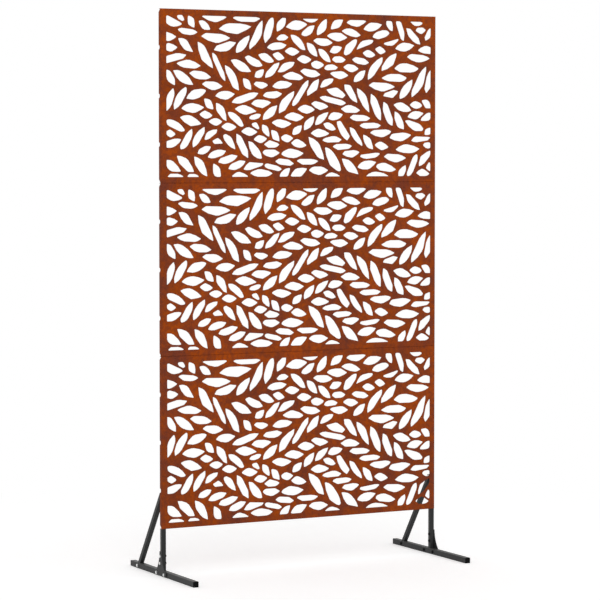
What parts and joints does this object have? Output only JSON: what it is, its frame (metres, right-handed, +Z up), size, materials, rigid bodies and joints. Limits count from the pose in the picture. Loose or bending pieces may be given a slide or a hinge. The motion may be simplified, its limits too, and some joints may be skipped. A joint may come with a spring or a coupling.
{
  "type": "free-standing laser cut metal screen",
  "caption": "Free-standing garden privacy screen of stacked folded sheet panels with cut-out leaves, bolted together on two braced tube feet.",
  "frame": {"origin": "on the floor, midway between the two feet and at the middle of their length, which is also the centre line of the posts", "axes": "+Z up; +X to the right as seen from the front; +Y to the back, where the folded edges and the braces are, so the flat leaf face looks along -Y"},
  "size_m": [1.113, 0.52, 1.966],
  "materials": {
    "rusted_sheet": "matte weathered rust-brown coat, mottled, with darker cut edges",
    "stand_paint": "satin dark grey powder coat",
    "black_plastic": "moulded, fine grain",
    "zinc_plate": "bright zinc plating"
  },
  "bodies": {
    "root": {"bottom_panel": "rusted_sheet", "middle_panel": "rusted_sheet", "top_panel": "rusted_sheet", "lower_joint_bolts": "zinc_plate", "lower_joint_nuts": "zinc_plate", "upper_joint_bolts": "zinc_plate", "upper_joint_nuts": "zinc_plate", "left_foot_tube": "stand_paint", "right_foot_tube": "stand_paint", "left_front_cap": "black_plastic", "left_rear_cap": "black_plastic", "right_front_cap": "black_plastic", "right_rear_cap": "black_plastic", "left_post": "stand_paint", "right_post": "stand_paint", "left_post_plug": "zinc_plate", "right_post_plug": "zinc_plate", "post_screws": "zinc_plate", "left_gusset": "stand_paint", "right_gusset": "stand_paint", "left_gusset_bolts": "zinc_plate", "right_gusset_bolts": "zinc_plate", "left_gusset_nuts": "black_plastic", "right_gusset_nuts": "black_plastic", "left_brace": "stand_paint", "right_brace": "stand_paint", "left_brace_bolt": "zinc_plate", "right_brace_bolt": "zinc_plate", "left_brace_nut": "black_plastic", "right_brace_nut": "black_plastic", "brace_studs": "zinc_plate", "brace_stud_nuts": "zinc_plate"}
  },
  "joints": []
}
